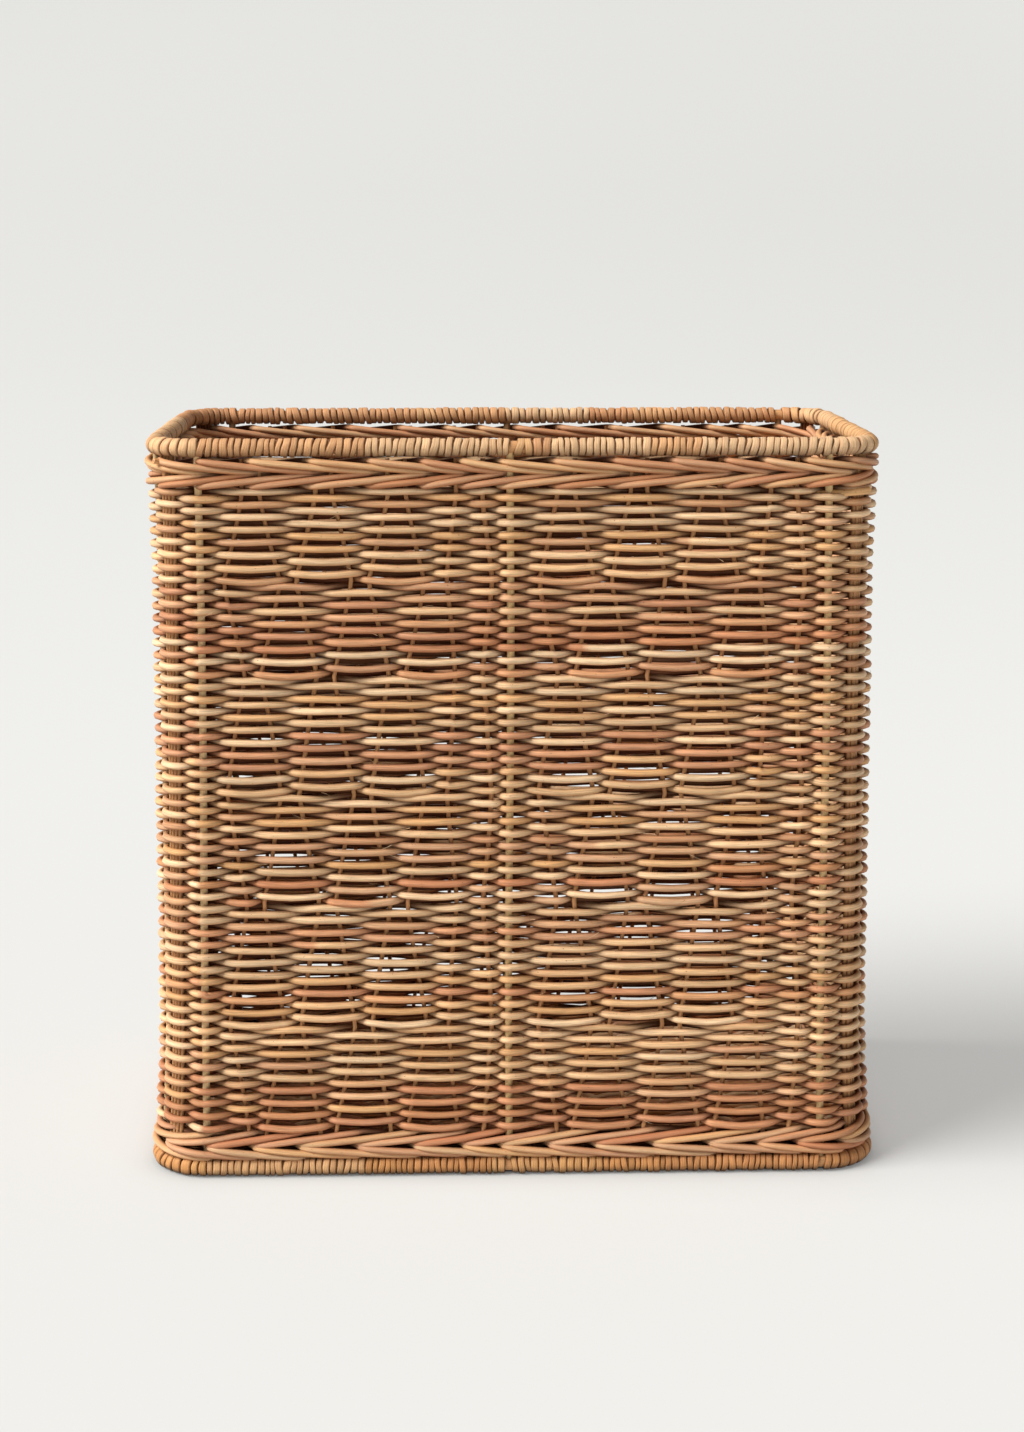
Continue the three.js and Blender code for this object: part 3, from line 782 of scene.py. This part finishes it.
def binding(name, z, pitch, tone, slant, painted_underside_shade):
    """Split cane wound round a hoop, one turn after another. The last argument is how dark the painted shade
    on the side that faces down is.
    """
    cane = Strands()
    round_steps = 18
    along, widths, at = [], [], 0.0
    while at < ROUND:
        _core, out = core_and_out(np.array([at]))
        on_end = abs(out[0, 0]) > 0.3
        width = pitch * (END_STRIPS_WIDER if on_end else 1.0) * rng.uniform(0.74, 1.26)
        along.append(at + width / 2)
        widths.append(width)
        at += width
    fit = ROUND / at
    gaps = [s_of(face, at_face) for face, at_face, _n in POST_PLACES]
    strip_color = mix(tone, STRAW, 0.1)
    wound = 0.0
    for turn, (middle, width) in enumerate(zip(along, widths)):
        middle *= fit
        half = width * fit * rng.uniform(0.46, 0.53)
        if any(abs((middle - gap + ROUND / 2) % ROUND - ROUND / 2) < POST_GAP for gap in gaps):
            continue
        if turn % 23 == 0 or rng.random() < 0.06:
            strip_color = mix(tone, [STRAW, TAN, ROSE][rng.integers(0, 3)], rng.uniform(0.05, 0.5))
        color = strip_color * rng.uniform(0.86, 1.1)
        tilt = slant + rng.normal(0, 0.6) + 0.5 * math.sin(middle / 31)
        radius = CORE_RADIUS + rng.uniform(-0.1, 0.35)
        thick = rng.uniform(1.0, 1.4)
        angle = np.linspace(0, 2 * np.pi, round_steps, endpoint=False)
        sections = []
        for across, lift in STRIP_GROOVES:
            place = middle + across * half + tilt * np.sin(angle) * 0.5 + 0.12 * np.sin(3 * angle + turn)
            r = radius + lift * thick
            core, out = core_and_out(place)
            away = CORNER_RADIUS - inset(np.full(round_steps, z)) + r * np.cos(angle)
            xy = core + out * away[:, None]
            sections.append(np.column_stack([xy, z + r * np.sin(angle)]))
        points = np.stack(sections, 1)
        grains = np.empty(points.shape)
        grains[..., 0] = np.array([across for across, _ in STRIP_GROOVES])[None] * 1.2
        grains[..., 1] = turn * 1.7
        grains[..., 2] = (angle * radius + wound)[:, None]
        wound += 2 * np.pi * radius
        # painted shade: dark down in the grooves between strips, and on the side that faces down
        lifts = np.array([lift for _across, lift in STRIP_GROOVES])[None, :, None]
        below = (np.clip(-np.sin(angle) - BELOW_FROM, 0, BELOW_OVER) / BELOW_OVER)[:, None, None]
        shade = (DEEP_SHADE + (1 - DEEP_SHADE) * lifts**1.6) * (1 - painted_underside_shade * below)
        cane.grid(points, color * shade, grains, True, closed_round=False)
    cane.build(f"wound_{name}", cane_material, [name])


binding("top_hoop_binding", RIM_Z, pitch=3.05, tone=CANE, slant=0.9, painted_underside_shade=0.45)
binding("bottom_hoop_binding", FOOT_Z, pitch=2.7, tone=AMBER, slant=0.3, painted_underside_shade=0.85)


# ---- Base: reeds along the length, woven over and under the front-to-back stakes ----
MAT_INSET = 5.2  # mm from the wall's middle to the edge of the mat
MAT_CORNER = 12
MAT_PITCH = 3.05
MAT_REED_RADIUS = 1.45
MAT_SWING = 2.2
MAT_STEPS = 7  # points from one stake to the next


def base_weave():
    """The woven bottom of the basket."""
    mat = Strands()
    rods = [-CORE_X, 0.0, CORE_X]
    for start in (-CORE_X, 0.0):
        rods += [float(station(start, CORE_X, i, WEAVE_FOOT)) for i in range(1, STAKES_PER_BAY + 1)]
    rods = sorted(rods)
    half_x = CORE_X + CORNER_RADIUS - MAT_INSET
    half_y = CORE_Y + CORNER_RADIUS - MAT_INSET
    rows = int(2 * half_y / MAT_PITCH)
    for r in range(rows):
        y = -half_y + (r + 0.5) * 2 * half_y / rows
        over_corner = max(0.0, abs(y) - (half_y - MAT_CORNER))
        end = half_x - (MAT_CORNER - math.sqrt(max(0.0, MAT_CORNER**2 - over_corner**2)))
        knots = [-end, *[x for x in rods if abs(x) < end - 2], end]
        knots = np.array(knots)
        side = np.where((np.arange(len(knots)) + r) % 2 == 0, 1.0, -1.0)
        t = np.linspace(0, len(knots) - 1, (len(knots) - 1) * MAT_STEPS + 1)
        low = np.clip(np.floor(t).astype(int), 0, len(knots) - 2)
        share = t - low
        x = knots[low] + (knots[low + 1] - knots[low]) * share
        ease = 0.5 - 0.5 * np.cos(np.pi * share)
        z = LOWER_ROD_Z + MAT_SWING * (side[low] * (1 - ease) + side[low + 1] * ease)
        wobble = 0.15 * np.sin(x / 17 + r * 1.3)
        path = np.column_stack([x, y + wobble, z])
        mat.tube(path, (0, 0, 1), MAT_REED_RADIUS, reed_color(0.35), sides=8)
    mat.build("woven_base", base_material, ["base_mat"])


base_weave()


# ---- Loose fibres ----
HAIRS, HAIR_STEPS = 420, 6
LOOPS, LOOP_STEPS = 16, 12


def loose_fibres():
    """Short hairs that stand off the reeds, and frayed cane inside by the front end of the right wall."""
    hairs = Strands()
    for _ in range(HAIRS):
        s = rng.uniform(0, ROUND)
        z = rng.uniform(WEAVE_FOOT, WEAVE_TOP)
        inside = rng.random() < 0.3
        off = -3.2 if inside else rng.uniform(2.6, 3.9)
        length = rng.uniform(2.5, 9.0)
        heading = rng.uniform(-0.6, 0.6) + (np.pi if rng.random() < 0.5 else 0)
        lift = rng.uniform(-0.3, 1.2)
        t = np.linspace(0, 1, HAIR_STEPS)
        curl = rng.uniform(-1.5, 1.5)
        ds = length * t * math.cos(heading)
        dz = length * t * math.sin(heading) + curl * t**2
        doff = (-lift if inside else lift) * t**1.5
        path = wall(s + ds, z + dz, off + doff)
        _core, out = core_and_out(np.full(HAIR_STEPS, s))
        thin = rng.uniform(0.06, 0.13) * (1 - 0.75 * t)
        tone = mix(STRAW, BARK, rng.uniform(0, 0.7))
        hairs.tube(path, np.column_stack([out, np.zeros(HAIR_STEPS)]), thin, tone, sides=4)
    for _ in range(LOOPS):
        t = np.linspace(0, 1, LOOP_STEPS)
        turn = rng.uniform(0, 2 * np.pi) + t * rng.uniform(3.0, 5.0)
        size = rng.uniform(1.8, 4.2)
        s = STARTS[2] + rng.uniform(0, 26) + size * np.cos(turn)
        z = rng.uniform(297.5, 303.5) + size * 0.7 * np.sin(turn)
        off = -4.6 - 1.6 * np.sin(turn + 1.0) * t
        _core, out = core_and_out(s)
        tone = mix(CANE, STRAW, rng.uniform(0.1, 0.7))
        out = np.column_stack([out, np.zeros(LOOP_STEPS)])
        hairs.tube(wall(s, z, off), out, 0.32 - 0.16 * t, tone, sides=6)
    hairs.build("loose_fibres", hair_material, [])


loose_fibres()

# ---- Floor, light and camera ----
PAPER = np.array([0.384, 0.385, 0.377])
FLOOR_GLOW = 1.0  # painted light: the paper glows though it is no lamp, which keeps the shadow on it light
GLOW_UNDER = 0.1  # painted shadow: share of the glow left under the basket
GLOW_RETURN = 6.0  # mm from the foot over which the glow comes back out of that painted shadow
PAINTED_CONTACT_SHADOW = 0.75  # painted contact shadow: how much darker the paper is at the foot
CONTACT_SHADOW_REACH = 1.8  # mm over which that painted shadow fades


def studio_material(name):
    """Matt paper with a glow that is painted light, both in the colours the mesh carries."""
    material = bpy.data.materials.new(name)
    material.use_nodes = True
    shader = material.node_tree.nodes["Principled BSDF"]
    for layer, socket in (("paper", "Base Color"), ("glow", "Emission Color")):
        shade = material.node_tree.nodes.new("ShaderNodeAttribute")
        shade.attribute_name = layer
        material.node_tree.links.new(shade.outputs["Color"], shader.inputs[socket])
    shader.inputs["Emission Strength"].default_value = FLOOR_GLOW
    shader.inputs["Roughness"].default_value = 0.9
    shader.inputs["Specular IOR Level"].default_value = 0.1
    return material


def studio_floor():
    """A pale sweep of rings round the foot: flat near it, rising gently far away on all sides."""
    s = np.concatenate([
        np.linspace(STARTS[i], STARTS[i + 1], 24 if i % 2 else 8, endpoint=False) for i in range(8)
    ])
    core, out = core_and_out(s)
    # rings close together by the foot, where the painted contact shadow and the glow change
    near = [CORNER_RADIUS + d for d in (-8, -3, 0, 2, 4, 7, 11, 16, 24, 40, 90, 250)]
    flat, reach, height = 5000.0, 9000.0, 3200.0
    profile = [(away, 0.0) for away in (0.0, *near, 600.0, 1500.0, 3000.0, flat)]
    for i in range(1, 25):
        turn = math.pi / 2 * i / 24
        profile.append((flat + reach * math.sin(turn), height * (1 - math.cos(turn))))
    around = len(s)
    points, glow, contact = [np.zeros((1, 3))], [np.array([GLOW_UNDER])], [np.array([1.0])]
    for away, z in profile:
        points.append(np.column_stack([core + out * away, np.full(around, z)]))
        beyond = max(0.0, away - CORNER_RADIUS)
        # painted shadow: the glow is cut down under the basket and comes back over GLOW_RETURN from the foot
        glow.append(np.full(around, 1 - (1 - GLOW_UNDER) * math.exp(-beyond / GLOW_RETURN)))
        contact.append(np.full(around, math.exp(-beyond / CONTACT_SHADOW_REACH)))
    place = np.concatenate(points) * MM
    glow = np.concatenate(glow)
    faces = []
    for j in range(around):
        following = (j + 1) % around
        faces.append((0, 1 + j, 1 + following))
        for i in range(len(profile) - 1):
            a, b = 1 + i * around, 1 + (i + 1) * around
            faces.append((a + j, b + j, b + following, a + following))
    mesh = bpy.data.meshes.new("floor")
    mesh.from_pydata(place.tolist(), [], faces)
    mesh.polygons.foreach_set("use_smooth", [True] * len(mesh.polygons))
    # painted light falloff: the paper darkens a little with distance, and a little more to the right
    far = np.clip((np.hypot(place[:, 0], place[:, 1]) - 1.0) / 9.0, 0, 1)
    shade = 1 - 0.14 * far**0.6 - 0.04 * far**0.3 * np.clip(place[:, 0] / 2.5, -1, 1)
    # painted contact shadow on the paper at the foot
    shade = shade * (1 - PAINTED_CONTACT_SHADOW * np.concatenate(contact))
    rgba = np.ones((len(place), 4), np.float32)
    for layer, amount in (("paper", shade), ("glow", shade * glow)):
        rgba[:, :3] = PAPER * amount[:, None]
        mesh.attributes.new(layer, "FLOAT_COLOR", "POINT").data.foreach_set("color", rgba.ravel())
    mesh.materials.append(studio_material("floor_paper"))
    floor = bpy.data.objects.new("floor", mesh)
    bpy.context.scene.collection.objects.link(floor)


studio_floor()

SKY_COLOR, SKY_STRENGTH = (1.0, 0.995, 0.98, 1), 0.2
KEY_COLOR, KEY_STRENGTH = (1.0, 0.985, 0.96), 4.7
KEY_SOFTNESS = math.radians(40)
KEY_TURN = (math.radians(45), 0, math.radians(-72))

world = bpy.data.worlds.new("studio")
bpy.context.scene.world = world
world.use_nodes = True
background = world.node_tree.nodes["Background"]
background.inputs["Color"].default_value = SKY_COLOR
background.inputs["Strength"].default_value = SKY_STRENGTH

key_data = bpy.data.lights.new("key", "SUN")
key_data.energy = KEY_STRENGTH
key_data.angle = KEY_SOFTNESS
key_data.color = KEY_COLOR
key = bpy.data.objects.new("key", key_data)
bpy.context.scene.collection.objects.link(key)
key.rotation_euler = KEY_TURN

IMAGE_HEIGHT = 1432
FOCAL_PX = 2410.1
SHIFT_PX = -215
CAMERA_PLACE = (-0.0280, -1.0632, 0.4005)
CAMERA_DOWN, CAMERA_TURN = 6.64, -1.56  # degrees

camera_data = bpy.data.cameras.new("camera")
camera = bpy.data.objects.new("camera", camera_data)
bpy.context.scene.collection.objects.link(camera)
bpy.context.scene.camera = camera
camera_data.sensor_width = 36
camera_data.lens = FOCAL_PX * camera_data.sensor_width / IMAGE_HEIGHT
camera_data.shift_y = SHIFT_PX / IMAGE_HEIGHT
camera_data.clip_start, camera_data.clip_end = 0.05, 100
camera.location = CAMERA_PLACE
camera.rotation_euler = (math.radians(90 - CAMERA_DOWN), 0, math.radians(CAMERA_TURN))

bpy.context.scene.view_settings.view_transform = "Standard"
